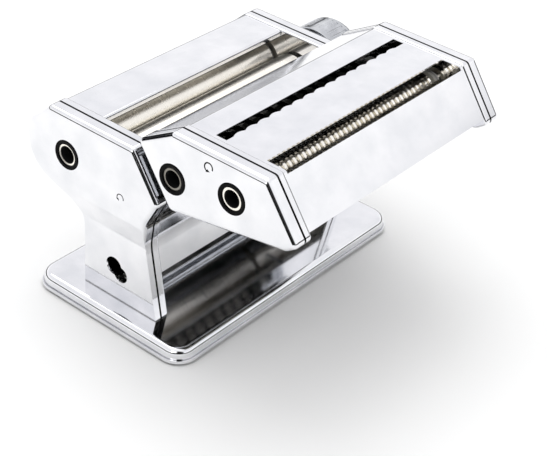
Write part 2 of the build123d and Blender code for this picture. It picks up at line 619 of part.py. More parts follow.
def cutter_roll(centre, pitch, ring, count, shift, drive):
    """A ringed roll. A drive roll has a crank socket in its near end."""
    journal = CUT_DRIVE_R if drive else CUT_IDLE_R
    mouth = -CUT_COVER_FACE + 0.3
    bottom = mouth + CUT_SOCKET_DEPTH
    if drive:
        near = [(bottom, 0), (bottom, CUT_SOCKET_R), (mouth, CUT_SOCKET_R), (mouth, journal)]
    else:
        near = [(CUT_GEAR_X, 0), (CUT_GEAR_X, journal)]
    core = [(-ROLLER_HALF, journal), (-ROLLER_HALF, CUT_CORE_R)]
    core += ring_profile(pitch, ring, count, shift)
    far = [(ROLLER_HALF, CUT_CORE_R), (ROLLER_HALF, CUT_IDLE_R), (CUT_FAR_END, CUT_IDLE_R),
           (CUT_FAR_END, 3.0), (ROLLER_HALF - 3, 3.0), (ROLLER_HALF - 3, 5.6),
           (4 - ROLLER_HALF, 5.6), (4 - ROLLER_HALF, 0)]
    return turned(centre, near + core + far)


def comb(centre, pitch, ring, count, shift):
    """A comb under a roll: its tines stand in the grooves between the rings."""
    plane = Plane(origin=(0, *centre), x_dir=(1, 0, 0),
                  z_dir=(0, math.cos(math.radians(ROLL_LINE)), math.sin(math.radians(ROLL_LINE))))
    tine = pitch - ring - 0.6
    root, tip = 13.0, CUT_CORE_R + 0.5
    with BuildPart() as bar:
        with BuildSketch(plane.offset(-3)):
            with Locations((0, -root - 1.5)):
                Rectangle(2 * CUT_WEB_IN, 3.0)
        extrude(amount=6)
        with BuildSketch(plane.offset(-1.5)):
            middles = [(index - (count - 2) / 2) * pitch + shift for index in range(count - 1)]
            with Locations(*[(x, -(root + tip) / 2 - 0.2) for x in middles]):
                Rectangle(tine, root - tip + 0.4)
        extrude(amount=3)
    return bar.part


SETS = (("wide", WIDE_AXIS, WIDE_IDLE, WIDE_PITCH, WIDE_RING, WIDE_COUNT),
        ("narrow", NARROW_AXIS, NARROW_IDLE, NARROW_PITCH, NARROW_RING, NARROW_COUNT))
for name, drive, idle, pitch, ring, count in SETS:
    save(cutter_roll(drive, pitch, ring, count, 0, True), f"{name}_drive_roll")
    save(cutter_roll(idle, pitch, ring, count - 1, 0, False), f"{name}_idle_roll")
    save(gear(drive, CUT_GEAR_TEETH, CUT_GEAR_RADII, CUT_GEAR_WIDTHS, CUT_DRIVE_R, CUT_GEAR_X,
              CUT_GEAR_THICK, turn=ROLL_LINE), f"{name}_drive_gear")
    save(gear(idle, CUT_GEAR_TEETH, CUT_GEAR_RADII, CUT_GEAR_WIDTHS, CUT_IDLE_R, CUT_GEAR_X,
              CUT_GEAR_THICK, turn=ROLL_LINE + 180 + 180 / CUT_GEAR_TEETH), f"{name}_idle_gear")
    save(comb(drive, pitch, ring, count, 0), f"{name}_drive_comb")
    save(comb(idle, pitch, ring, count - 1, 0), f"{name}_idle_comb")
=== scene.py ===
# %% [markdown]
# # A hand-cranked pasta machine
#
# The real object is a pressed-steel kitchen machine. Two chromed side housings stand on a chromed base,
# two smooth rollers thin a sheet of dough between them, and a second housing in front carries two pairs
# of ringed rolls that cut the sheet into noodles.
#
# The shapes that must fit and move come from the imported model, so they are only given their finish here.
# What is added is small visible detail: black collars and dark sleeves in the crank holes and black
# strips along the seams, all painted shade, a scalloped plate, turning marks and the knob's coil spring.

# %% Load the imported model
import json
import math

import bpy
import numpy as np
from mathutils import Matrix, Vector


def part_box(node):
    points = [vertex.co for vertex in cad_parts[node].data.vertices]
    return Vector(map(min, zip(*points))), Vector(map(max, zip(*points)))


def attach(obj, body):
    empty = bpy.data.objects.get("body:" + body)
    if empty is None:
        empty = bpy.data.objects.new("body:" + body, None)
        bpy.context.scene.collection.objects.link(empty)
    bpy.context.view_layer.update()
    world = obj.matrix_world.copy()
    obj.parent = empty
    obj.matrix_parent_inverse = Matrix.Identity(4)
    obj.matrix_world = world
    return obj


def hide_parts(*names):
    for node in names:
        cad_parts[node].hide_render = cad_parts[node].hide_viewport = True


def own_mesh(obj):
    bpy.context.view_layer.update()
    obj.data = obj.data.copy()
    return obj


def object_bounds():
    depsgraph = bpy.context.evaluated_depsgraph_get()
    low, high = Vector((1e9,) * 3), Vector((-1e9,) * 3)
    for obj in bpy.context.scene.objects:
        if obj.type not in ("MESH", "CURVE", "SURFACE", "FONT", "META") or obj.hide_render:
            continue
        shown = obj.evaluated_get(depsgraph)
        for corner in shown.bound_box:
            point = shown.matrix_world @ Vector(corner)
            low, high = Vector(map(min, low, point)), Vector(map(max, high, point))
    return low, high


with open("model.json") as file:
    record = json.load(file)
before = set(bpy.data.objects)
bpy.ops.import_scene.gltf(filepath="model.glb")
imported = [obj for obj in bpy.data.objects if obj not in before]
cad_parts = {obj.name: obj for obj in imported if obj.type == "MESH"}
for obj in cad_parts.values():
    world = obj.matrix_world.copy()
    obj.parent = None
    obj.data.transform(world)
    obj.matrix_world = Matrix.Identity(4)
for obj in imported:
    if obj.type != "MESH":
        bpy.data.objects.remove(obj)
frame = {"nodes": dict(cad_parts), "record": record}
cad_box = [list(corner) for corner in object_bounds()]
MM = 0.001
print("nodes", len(frame["nodes"]), "box", [[round(v, 4) for v in corner] for corner in cad_box])

# %% [markdown]
# ## The camera
#
# A long lens from the crank side, above and in front, keeps the parallel edges nearly parallel. The
# camera is built from three angles and a target, because that is how a photographer would describe it:
# how far round, how high, and how far the frame leans. The lens isn't shifted.

# %% Camera from azimuth, elevation and roll
AZIMUTH, ELEVATION, ROLL = map(math.radians, (-53.0, 34.5, 4.8))
TARGET = Vector((0.0, -0.0402, 0.0393))
DISTANCE = 0.8817
LENS_MM, SENSOR_MM = 97.0, 36.0

back = Vector((math.sin(AZIMUTH) * math.cos(ELEVATION),
               -math.cos(AZIMUTH) * math.cos(ELEVATION),
               math.sin(ELEVATION)))
right = Vector((0, 0, 1)).cross(back).normalized()
up = back.cross(right)
lean_right = right * math.cos(ROLL) + up * math.sin(ROLL)
lean_up = up * math.cos(ROLL) - right * math.sin(ROLL)

lens = bpy.data.cameras.new("camera")
lens.lens = LENS_MM
lens.sensor_width = SENSOR_MM
lens.clip_start = 0.02
camera = bpy.data.objects.new("camera", lens)
camera.matrix_world = Matrix.Translation(TARGET + back * DISTANCE) @ Matrix(
    (lean_right, lean_up, back)).transposed().to_4x4()
bpy.context.scene.collection.objects.link(camera)
bpy.context.scene.camera = camera
print("camera at", [round(v, 3) for v in camera.location])

# %% [markdown]
# ## Colours and nodes
#
# Designers pick colours as hex values on a screen, but a renderer adds up light, so each value is
# turned from sRGB to linear once, here. Materials are node trees, and one small helper adds a node,
# gives it its settings and joins its inputs, which keeps every recipe short enough to read.

# %% Helpers for colours and shader nodes
def linear(hex_colour):
    """An sRGB hex value as linear RGBA: each channel below 0.04045 is divided by 12.92, and the
    others follow ((c + 0.055) / 1.055) to the power 2.4."""
    channels = np.array([int(hex_colour[i:i + 2], 16) for i in (0, 2, 4)]) / 255
    low, high = channels / 12.92, ((channels + 0.055) / 1.055) ** 2.4
    return (*np.where(channels <= 0.04045, low, high).tolist(), 1.0)


def add_node(tree, kind, settings=None, values=None, links=None):
    """A node of that kind: settings are its own properties, values its unlinked inputs, and links the
    sockets that feed its inputs."""
    made = tree.nodes.new("ShaderNode" + kind)
    for name, value in (settings or {}).items():
        setattr(made, name, value)
    for name, value in (values or {}).items():
        made.inputs[name].default_value = value
    for name, socket in (links or {}).items():
        tree.links.new(socket, made.inputs[name])
    return made


def new_material(name):
    """An empty node material with its shader and its Object coordinates: (material, tree, shader,
    coordinates)."""
    made = bpy.data.materials.new(name)
    made.use_nodes = True
    tree = made.node_tree
    tree.nodes.clear()
    shader = add_node(tree, "BsdfPrincipled")
    add_node(tree, "OutputMaterial", links={"Surface": shader.outputs["BSDF"]})
    place = add_node(tree, "TexCoord").outputs["Object"]
    return made, tree, shader, place


def stretched_noise(tree, place, sizes_mm, detail=3.0, roughness=0.5):
    """Noise whose grain is sizes_mm long along X, Y and Z: each coordinate in metres is multiplied by
    1000 / size, so that one unit of noise is one grain."""
    grain = add_node(tree, "Mapping", values={"Scale": [1000 / size for size in sizes_mm]},
                     links={"Vector": place})
    return add_node(tree, "TexNoise", values={"Scale": 1.0, "Detail": detail, "Roughness": roughness},
                    links={"Vector": grain.outputs["Vector"]}).outputs["Fac"]


NOISE_LOW, NOISE_HIGH = 0.3, 0.7   # nearly all noise lies between these


def vary(tree, shader, cloud, shades, grain, gloss, height, depth_mm):
    """Three patterns on a shader: cloud mixes the two hex shades, grain runs the roughness from the
    lower to the higher gloss, and height raises a bump of depth_mm. Gives (colour, roughness)."""
    ramp = add_node(tree, "ValToRGB", links={"Fac": cloud})
    for stop, position, shade in zip(ramp.color_ramp.elements, (NOISE_LOW, NOISE_HIGH), shades):
        stop.position = position
        stop.color = linear(shade)
    rough = add_node(tree, "MapRange", values={"From Min": NOISE_LOW, "From Max": NOISE_HIGH,
                                               "To Min": gloss[0], "To Max": gloss[1]},
                     links={"Value": grain})
    bump = add_node(tree, "Bump", values={"Distance": depth_mm * MM, "Strength": 1.0},
                    links={"Height": height})
    tree.links.new(ramp.outputs["Color"], shader.inputs["Base Color"])
    tree.links.new(rough.outputs["Result"], shader.inputs["Roughness"])
    tree.links.new(bump.outputs["Normal"], shader.inputs["Normal"])
    return ramp.outputs["Color"], rough.outputs["Result"]


print("mid grey BCBCBC is", round(linear("BCBCBC")[0], 3), "in linear light")

# %% [markdown]
# ## Polished chrome plate
#
# The housings are sheet steel, pressed to shape, polished, then plated with nickel and a very thin
# layer of chromium. The plate copies the polished steel, so it is a mirror, but a slightly wavy one:
# pressing leaves broad hollows of a few hundredths of a millimetre, and wiping leaves faint hairlines.
# A flat mirror would look like glass, and the waviness is what makes straight reflections wander.
#
# Every seam of the real machine reads as a dark line, because shade falls deep in a joint, and here that
# shade is painted into the colour. The Ambient Occlusion node says how much of the space within a small
# distance is blocked, and the colour darkens towards near black by that.

# %% Painted shade in joints and sockets
PAINTED_SHADE_FADE = 0.35


def painted_crevice_shade(tree, colour, shade_reach_mm, dark, tight):
    """colour where the space within shade_reach_mm is open, and dark where only the tight share of it or less
    is. Between the two it fades over a further PAINTED_SHADE_FADE of that share."""
    # Painted shade: the colour falls to dark where the space round a point is blocked, as shade would.
    opening = add_node(tree, "AmbientOcclusion", {"samples": 6}, {"Distance": shade_reach_mm * MM})
    open_share = add_node(tree, "MapRange", {"interpolation_type": "SMOOTHSTEP"},
                          {"From Min": tight, "From Max": tight + PAINTED_SHADE_FADE, "To Min": 1.0,
                           "To Max": 0.0},
                          {"Value": opening.outputs["AO"]})
    return add_node(tree, "MixRGB", {"blend_type": "MIX"}, {"Color2": linear(dark)},
                    {"Fac": open_share.outputs["Result"], "Color1": colour}).outputs["Color"]


# %% Polished chrome
def polished_chrome(name, shade_reach_mm):
    """Chromium over nickel over polished steel. Metallic 1 gives a coloured mirror, the pressed waves
    bend it, and the wiping hairlines only change its roughness."""
    made, tree, shader, place = new_material(name)
    waves = stretched_noise(tree, place, (46, 38, 42), detail=1.0)
    wiping = stretched_noise(tree, place, (24, 0.5, 0.5), detail=4.0)
    haze = stretched_noise(tree, place, (18, 18, 18), detail=5.0)
    colour, wiped = vary(tree, shader, haze, ("E6E7EA", "F4F4F6"), wiping, (0.0, 0.03), waves, 0.05)
    hazed = add_node(tree, "MapRange", values={"From Min": NOISE_LOW, "From Max": NOISE_HIGH,
                                               "To Min": 0.045, "To Max": 0.085}, links={"Value": haze})
    rough = add_node(tree, "Math", {"operation": "ADD"}, links={0: wiped, 1: hazed.outputs["Result"]})
    tree.links.new(rough.outputs["Value"], shader.inputs["Roughness"])
    # Painted shade: the plate's colour goes to near black 0B0B0C in joints and crevices.
    tree.links.new(painted_crevice_shade(tree, colour, shade_reach_mm, "0B0B0C", 0.35), shader.inputs["Base Color"])
    shader.inputs["Metallic"].default_value = 1.0
    return made


chrome = polished_chrome("polished_chrome_plate", 2.5)
print(chrome.name, "nodes", len(chrome.node_tree.nodes))

# %% [markdown]
# ## Ground roller steel
#
# The smooth rollers and the ringed rolls are turned and ground while they spin, so the grinding lines
# run round them. Along the axis the lines are a few hundredths of a millimetre apart, too fine to show,
# so they are drawn about 0.6 mm apart. Nickel plating is warmer than chromium.

# %% Ground nickel
def ground_nickel(name, dark, light, line_mm, gloss, shade_reach_mm, tight):
    """Nickel-plated, ground steel. The grain is line_mm along X, the axis of every roller here, and
    long round it, so each line is a ring. gloss is the lowest and highest roughness, and the crevices
    darken with painted shade as in the plate."""
    made, tree, shader, place = new_material(name)
    lines = stretched_noise(tree, place, (line_mm, 80, 80), detail=1.0)
    stain = stretched_noise(tree, place, (60, 20, 20), detail=2.0)
    colour, _ = vary(tree, shader, stain, (dark, light), lines, gloss, lines, 0.0002)
    # Painted shade: the colour goes to near black 080707 in the crevices round the rolls.
    tree.links.new(painted_crevice_shade(tree, colour, shade_reach_mm, "080707", tight), shader.inputs["Base Color"])
    shader.inputs["Metallic"].default_value = 1.0
    return made


# The last two numbers of each roller finish set its painted shade in crevices.
roller_finish = ground_nickel("ground_nickel_roller", "F8F2E6", "FEFAF0", 0.6, (0.27, 0.29), 1.5, 0.1)
ring_finish = ground_nickel("ground_nickel_rings", "F6F1E6", "FEFBF4", 0.9, (0.12, 0.18), 2.0, 0.3)
# Painted shade: the wide rings' own shades are darkened for their deep, shaded slot, and their crevice
# shade reaches far.
wide_rings_shaded_finish = ground_nickel("ground_nickel_wide_rings_painted_shade", "8D8981", "A19D95", 0.9, (0.3, 0.4), 16.0, 0.6)
print(roller_finish.name, ring_finish.name)

# %% [markdown]
# ## Plain steels
#
# Inside the housings the steel is only zinc plated: softer in gloss, slightly blue and a little
# mottled by its crystals. The gears are hardened, which leaves them grey and dull, with a film of
# oil, and the springs are drawn wire. They share one recipe with different colours and grain.

# %% Zinc plate, hardened gears and spring wire
def plain_steel(name, dark, light, gloss, grain_mm):
    """Uncoated or zinc-plated steel. gloss is the lowest and highest roughness, and grain_mm the size
    of the crystals or tool marks along each axis."""
    made, tree, shader, place = new_material(name)
    grain = stretched_noise(tree, place, grain_mm, detail=4.0, roughness=0.6)
    film = stretched_noise(tree, place, (11, 9, 12), detail=3.0)
    vary(tree, shader, film, (dark, light), grain, gloss, grain, 0.01)
    shader.inputs["Metallic"].default_value = 1.0
    return made


frame_finish = plain_steel("bright_zinc_plate", "B4B7BC", "D3D5D9", (0.10, 0.24), (3.0, 2.0, 2.0))
gear_finish = plain_steel("hardened_gear_steel", "6A6762", "938F88", (0.28, 0.5), (0.7, 1.2, 1.2))
fastener_finish = plain_steel("zinc_plated_fasteners", "AFAFA8", "CFCFC6", (0.2, 0.36), (1.2, 1.2, 1.2))
spring_finish = plain_steel("drawn_spring_wire", "55565A", "7C7D80", (0.25, 0.4), (0.4, 2.0, 2.0))
print("steels", frame_finish.name, gear_finish.name, fastener_finish.name, spring_finish.name)

# %% [markdown]
# ## Turned aluminium
#
# The regulator knob is turned from aluminium bar on a lathe and left with a satin face. The tool
# leaves concentric rings about a quarter of a millimetre apart, here drawn at half a millimetre. A
# Wave texture with ring bands centred on the knob's axis gives exactly that.

# %% Satin turned aluminium
def turned_aluminium(name, axis_y, axis_z, ring_mm=0.5):
    """Lathe-turned aluminium: sine rings round the line y = axis_y, z = axis_z, ring_mm apart."""
    made, tree, shader, place = new_material(name)
    centred = add_node(tree, "Mapping", values={"Location": (0, -axis_y, -axis_z)},
                       links={"Vector": place})
    rings = add_node(tree, "TexWave", {"wave_type": "RINGS", "rings_direction": "X"},
                     {"Scale": 1000 / ring_mm / 20, "Distortion": 0.4, "Detail": 1.0},
                     {"Vector": centred.outputs["Vector"]})
    haze = stretched_noise(tree, place, (8, 8, 8), detail=4.0)
    turned = rings.outputs["Fac"]
    vary(tree, shader, haze, ("B9BBBF", "D6D8DB"), turned, (0.2, 0.3), turned, 0.006)
    shader.inputs["Metallic"].default_value = 1.0
    return made


knob_low, knob_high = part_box("regulator_knob")
knob_axis = ((knob_low[1] + knob_high[1]) / 2, (knob_low[2] + knob_high[2]) / 2)
knob_finish = turned_aluminium("satin_turned_aluminium", *knob_axis)
print("knob axis y, z", [round(v, 4) for v in knob_axis])

# %% [markdown]
# ## Plastics and rubber
#
# Three non-metals: white acetal where a shaft runs, black moulded plastic for the combs, and a black
# rubber sheet under the base. Moulded plastic has a fine even texture and a soft gloss, so its grain is
# small and its relief shallow. Rubber is duller and picks up flour and dust. The same black serves as
# painted shade for the socket collars and the seam strips, and a dull near black made by the same
# recipe is painted shade inside the crank sockets.

# %% Acetal, black moulding and rubber
def moulded(name, dark, light, gloss, grain_mm, depth_mm, specular=0.5):
    """A moulded plastic or rubber: metallic stays 0, the colour hardly varies, and the tool's texture
    is a fine relief."""
    made, tree, shader, place = new_material(name)
    grain = stretched_noise(tree, place, (grain_mm,) * 3, detail=2.0)
    cloud = stretched_noise(tree, place, (14, 14, 14), detail=3.0)
    vary(tree, shader, cloud, (dark, light), grain, gloss, grain, depth_mm)
    shader.inputs["IOR"].default_value = 1.48
    shader.inputs["Specular IOR Level"].default_value = specular
    return made


acetal_finish = moulded("white_acetal", "DEDBD2", "EDEBE4", (0.3, 0.42), 0.5, 0.01)
scraper_finish = moulded("white_food_plastic", "DCDAD3", "EAE9E4", (0.34, 0.48), 0.6, 0.015)
# The black moulding also serves as painted shade: the collars in the crank holes and the strips in the
# seams.
black_finish = moulded("black_moulding_and_painted_shade", "030304", "080809", (0.44, 0.56), 0.6, 0.01, 0.06)
rubber_finish = moulded("black_rubber_sheet", "151515", "232322", (0.6, 0.82), 0.9, 0.06)
# Painted shade: a dull near black that darkens the inside of the crank sockets.
socket_shade_finish = moulded("painted_socket_shade", "0A0A0B", "141416", (0.5, 0.6), 0.8, 0.004)
print("plastics", acetal_finish.name, scraper_finish.name, black_finish.name, rubber_finish.name)

# %% [markdown]
# ## Finishes on the imported nodes
#
# The record says which material slot each node has. Most slots map to one finish, and a few nodes
# are picked out by name. The ringed rolls have coarser lines than the smooth rollers, and the wide ones
# lie deep in their slot, so they are duller and their colour is darkened with painted shade. The inner
# frames' folded rims show beside the covers and are polished and plated like them.

# %% Give each node its finish
SLOT_FINISH = {
    "pressed_chrome": chrome,
    "roller_steel": roller_finish,
    "gear_steel": gear_finish,
    "frame_steel": frame_finish,
    "bush_plastic": acetal_finish,
    "scraper_plastic": scraper_finish,
    "comb_plastic": black_finish,
    "fastener_steel": fastener_finish,
    "base_rubber": rubber_finish,
    "knob_metal": knob_finish,
    "spring_steel": spring_finish,
}
slot_of = {part["node"]: part["material_slot"] for part in frame["record"]["subparts"]}


def finish_node(name, finish):
    """The node shows one finish in every slot of its mesh."""
    mesh = frame["nodes"][name].data
    mesh.materials.clear()
    mesh.materials.append(finish)


for name, slot in slot_of.items():
    finish_node(name, SLOT_FINISH[slot])
for pair, finish in (("wide", wide_rings_shaded_finish), ("narrow", ring_finish)):
    finish_node(pair + "_drive_roll", finish)
    finish_node(pair + "_idle_roll", finish)
for name in ("near_inner_frame", "far_inner_frame", "cutter_near_frame", "cutter_far_frame"):
    finish_node(name, chrome)
print("finished nodes", len(slot_of))

# %% [markdown]
# ## Surfaces as arrays
#
# Every added piece is a grid of points: one parameter runs along a path or round an axis, the other
# round a section. The points are worked out as whole arrays, the grid's squares become faces by index
# arithmetic, and open ends are closed by a face each. The signed volume tells whether the faces point
# outwards, and if they don't, every face is turned over.

# %% From grids to pieces
def grid_faces(rows, columns, start=0):
    """Quads of a grid that is closed across its columns: corner (i, j) is point i * columns + j, and
    the last column joins the first."""
    i, j = np.meshgrid(np.arange(rows - 1), np.arange(columns), indexing="ij")
    after = (j + 1) % columns
    quads = np.stack([i * columns + j, i * columns + after,
                      (i + 1) * columns + after, (i + 1) * columns + j], -1)
    return (quads.reshape(-1, 4) + start).tolist()


def tube(points, closed=False):
    """(vertices, faces) of sections (rows, columns, 3): a loop joins its last section to its first, and
    an open tube gets a flat face at each end."""
    rows, columns = points.shape[:2]
    if closed:
        points = np.concatenate([points, points[:1]])
        faces = np.array(grid_faces(rows + 1, columns)) % (rows * columns)
        return points[:-1].reshape(-1, 3), faces.tolist()
    ends = [list(range(columns)), list(range(rows * columns - 1, (rows - 1) * columns - 1, -1))]
    return points.reshape(-1, 3), grid_faces(rows, columns) + ends


def together(*shapes):
    """Several (vertices, faces) as one, each facing outwards: the signed volume, a sixth of the sum of
    a . (b x c) over each face's triangles, is negative for a shape that is inside out."""
    vertices, faces, start = [], [], 0
    for points, polygons in shapes:
        volume = sum(float(np.dot(points[p[0]], np.cross(points[p[k]], points[p[k + 1]])))
                     for p in polygons for k in range(1, len(p) - 1))
        turned = polygons if volume > 0 else [p[::-1] for p in polygons]
        faces += [[corner + start for corner in p] for p in turned]
        vertices.append(points)
        start += len(points)
    return np.concatenate(vertices), faces


def piece(name, shape, finish, body, sharp_degrees=40):
    """A finished piece from (vertices, faces) in metres, riding on a body."""
    vertices, faces = together(*shape) if isinstance(shape, list) else together(shape)
    mesh = bpy.data.meshes.new(name)
    mesh.from_pydata(vertices.tolist(), [], faces)
    mesh.shade_smooth()
    mesh.set_sharp_from_angle(angle=math.radians(sharp_degrees))
    mesh.materials.append(finish)
    made = bpy.data.objects.new(name, mesh)
    bpy.context.scene.collection.objects.link(made)
    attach(made, body)
    print(name, len(vertices), "points on", body)
    return made


def turned_ring(centre, section, steps=96):
    """A closed (x, radius) section carried round the X direction through centre (y, z): each point is
    (x, y + r cos a, z + r sin a)."""
    angle = np.linspace(0, 2 * np.pi, steps, endpoint=False)[:, None]
    x, r = np.array(section).T * MM
    return tube(np.stack([x + 0 * angle, centre[0] * MM + r * np.cos(angle),
                          centre[1] * MM + r * np.sin(angle)], -1), closed=True)


# %% [markdown]
# ## Crank sockets
#
# Each hole in the near housings shows three rings: the dark gap round the roll, the bright end of the
# roll, and the dark socket that takes the crank. A black collar fills the gap as painted shade, and its
# lip stands just clear of the turning roll. A thin dark sleeve lines the socket as painted shade, and
# the sleeve turns in at its far end to give the socket a dark floor.

# %% Painted shade collars and socket sleeves
SOCKETS = {   # name: (y, z, hole face x, roll end x, bore radius, depth, body, roll)
    "roller": (40.5, 94.0, -91.5, -91.2, 5.5, 18.0, "machine", "rear_roller"),
    "wide_cutter": (-42.5, 117.6, -94.7, -94.4, 5.2, 16.0, "cutter_head", "wide_drive_roll"),
    "narrow_cutter": (-83.3, 124.6, -94.7, -94.4, 5.2, 16.0, "cutter_head", "narrow_drive_roll"),
}
COLLAR_LIP, COLLAR_NECK, COLLAR_FIT, COLLAR_RIM = 6.6, 7.8, 8.9, 9.2

for name, (y, z, face, end, bore, depth, body, roll) in SOCKETS.items():
    collar = [(face - 0.45, COLLAR_LIP + 0.5), (face - 0.3, COLLAR_LIP + 0.1), (face + 0.1, COLLAR_LIP),
              (face + 0.1, COLLAR_NECK), (face + 2.0, COLLAR_NECK), (face + 2.0, COLLAR_FIT),
              (face - 0.05, COLLAR_FIT), (face - 0.05, COLLAR_RIM), (face - 0.3, COLLAR_RIM - 0.1),
              (face - 0.5, COLLAR_FIT)]
    # Painted shade: the black collar fills the dark gap round the roll.
    piece(name + "_socket_shade_collar", turned_ring((y, z), collar), black_finish, body)
    # Painted shade: the dark sleeve and its floor darken the socket.
    floor = end + depth - 0.3
    sleeve = [(end + 0.5, bore - 0.02), (floor, bore - 0.02), (floor, 0.6), (floor - 0.3, 0.6),
              (floor - 0.3, bore - 0.25), (end + 0.5, bore - 0.25)]
    piece(name + "_socket_shade_sleeve", turned_ring((y, z), sleeve), socket_shade_finish, roll)

# %% [markdown]
# ## Painted shade along the housing seams
#
# Where an outer housing meets its inner frame, a black strip, sunk a little below the chrome, stands in
# the seam as painted shade and draws the dark outline of the machine. It follows the housing's own
# outline, so the outline is built first: corners joined by straight runs, each corner rounded by an
# arc.

# %% The housings' outlines and their painted seam shade
MAIN_OUTLINE = [  # y, z, corner radius, in millimetres
    (55.0, 120.0, 3.0), (73.8, 103.0, 5.0), (73.8, 75.8, 25.0), (30.0, 61.6, 18.0), (30.0, 10.0, 0.6),
    (-27.5, 10.0, 0.6), (-18.0, 57.0, 30.0), (-20.0, 74.0, 16.0), (-29.3, 91.5, 3.0), (-9.5, 120.0, 3.0)]
CUTTER_OUTLINE = [
    (-41.0, 145.3, 3.0), (-16.0, 130.8, 3.0), (-40.6, 96.3, 4.0), (-119.5, 109.2, 6.0),
    (-127.0, 114.5, 3.0), (-104.5, 145.3, 3.0)]


def rounded_outline(corners, steps=9):
    """Points (n, 2) and outward normals (n, 2) of a closed outline. A corner of radius r, whose runs
    turn by an angle t, has its arc start r tan(t / 2) before the corner; the arc's normals turn evenly
    from one run's normal to the next's."""
    points, normals = [], []
    for k, (y, z, r) in enumerate(corners):
        here = np.array((y, z))
        into = here - np.array(corners[k - 1][:2])
        out = np.array(corners[(k + 1) % len(corners)][:2]) - here
        into, out = into / np.linalg.norm(into), out / np.linalg.norm(out)
        turn = math.atan2(into[0] * out[1] - into[1] * out[0], into @ out)
        side = np.array((into[1], -into[0]))
        start = here - into * r * math.tan(abs(turn) / 2)
        centre = start - side * r * np.sign(turn)
        angle = np.linspace(0, turn, steps)[:, None]
        swept = np.cos(angle) * side + np.sin(angle) * into
        points.append(centre + swept * r * np.sign(turn))
        normals.append(swept)
    points, normals = np.concatenate(points), np.concatenate(normals)
    area = np.sum(points[:, 0] * np.roll(points[:, 1], -1) - points[:, 1] * np.roll(points[:, 0], -1))
    return points, normals * np.sign(area)


def outline_strip(corners, section, lowest):
    """A closed (x, outward) section carried along the outline: each point is the outline's point moved
    along its normal. Nothing goes below the height called lowest."""
    points, normals = rounded_outline(corners)
    x, outward = np.array(section).T
    rows = points[:, None] + normals[:, None] * outward[None, :, None]
    rows = np.concatenate([np.broadcast_to(x[None, :, None], rows.shape[:2] + (1,)), rows], -1)
    rows[..., 2] = np.maximum(rows[..., 2], lowest)
    return tube(rows * MM, closed=True)


SEAM_HALF, SHADE_STRIP_SUNK, SHADE_STRIP_DEEP = 0.69, 0.12, 1.4
# Painted shade: a black strip stands in each seam where shade falls between housing and frame.
for name, corners, seam, lowest, body in (
        ("near_housing_seam_shade", MAIN_OUTLINE, -83.0, 10.02, "machine"),
        ("far_housing_seam_shade", MAIN_OUTLINE, 83.0, 10.02, "machine"),
        ("cutter_near_seam_shade", CUTTER_OUTLINE, -86.0, 0.0, "cutter_head"),
        ("cutter_far_seam_shade", CUTTER_OUTLINE, 86.0, 0.0, "cutter_head")):
    section = [(seam - SEAM_HALF, -SHADE_STRIP_SUNK - 0.1), (seam - SEAM_HALF + 0.1, -SHADE_STRIP_SUNK),
               (seam + SEAM_HALF - 0.1, -SHADE_STRIP_SUNK), (seam + SEAM_HALF, -SHADE_STRIP_SUNK - 0.1),
               (seam + SEAM_HALF, -SHADE_STRIP_DEEP), (seam - SEAM_HALF, -SHADE_STRIP_DEEP)]
    piece(name, outline_strip(corners, section, lowest), black_finish, body)

# %% [markdown]
# ## The scalloped lip of the wide slot
#
# The front edge of the wide cutter's slot carries a thin guide plate. Its edge is cut in shallow
# scallops, one for each ring, and they catch the light against the dark slot.

# %% Scalloped guide plate
SLOT_EDGE_Y, SLOT_HALF, SCALLOP_PITCH, SCALLOPS = -64.45, 78.0, 9.6, 15
PLATE_TOP, PLATE_GAUGE, PLATE_BACK = 143.55, 0.5, 1.5
EDGE_REACH, TOOTH_REACH = 0.7, 1.5


def scalloped_plate():
    """A strip along X. Its free edge reaches EDGE_REACH out, plus TOOTH_REACH times the 0.8th power of
    the absolute sine of pi (x / pitch + 1/2) within the rings, so that each ring has one rounded tooth."""
    x = np.linspace(-SLOT_HALF, SLOT_HALF, 481)
    inside = np.abs(x) < SCALLOP_PITCH * SCALLOPS / 2
    tooth = TOOTH_REACH * np.abs(np.sin(np.pi * (x / SCALLOP_PITCH + 0.5))) ** 0.8
    reach = EDGE_REACH + np.where(inside, tooth, 0)
    y = np.stack([0 * x - PLATE_BACK, reach, reach, 0 * x - PLATE_BACK], -1) + SLOT_EDGE_Y
    z = np.array([0.0, 0.0, -PLATE_GAUGE, -PLATE_GAUGE]) + PLATE_TOP
    return tube(np.stack([np.broadcast_to(x[:, None], y.shape), y,
                          np.broadcast_to(z, y.shape)], -1) * MM)


piece("wide_slot_guide", scalloped_plate(), chrome, "cutter_head")

# %% [markdown]
# ## Turning marks
#
# A small curved arrow is stamped beside the crank holes to show which way to turn. It is a generic
# arrow: a ribbon along more than half a circle with a triangular head, filled with dark paint.

# %% Curved arrows
def curved_arrow(centre, x_face, radius, width, first_degrees, last_degrees, proud=0.04):
    """A flat ribbon from the first to the last angle round centre, (y + r cos a, z + r sin a), and a
    triangle whose tip is 50 degrees of arc further on."""
    angle = np.radians(np.linspace(first_degrees, last_degrees, 40))[:, None]
    r = np.array([radius - width / 2, radius + width / 2, radius + width / 2, radius - width / 2])
    x = np.array([x_face - proud, x_face - proud, x_face + proud, x_face + proud])
    ribbon = np.stack([x + 0 * angle, centre[0] + r * np.cos(angle), centre[1] + r * np.sin(angle)], -1)
    last = math.radians(last_degrees)
    tip = last + math.radians(50) * np.sign(last_degrees - first_degrees)
    corners = [(radius - 1.5 * width, last), (radius + 1.5 * width, last), (radius, tip)]
    head = np.array([[(side, centre[0] + q * math.cos(a), centre[1] + q * math.sin(a))
                      for q, a in corners] for side in (x_face - proud, x_face + proud)])
    return [tube(ribbon * MM), tube(head * MM)]


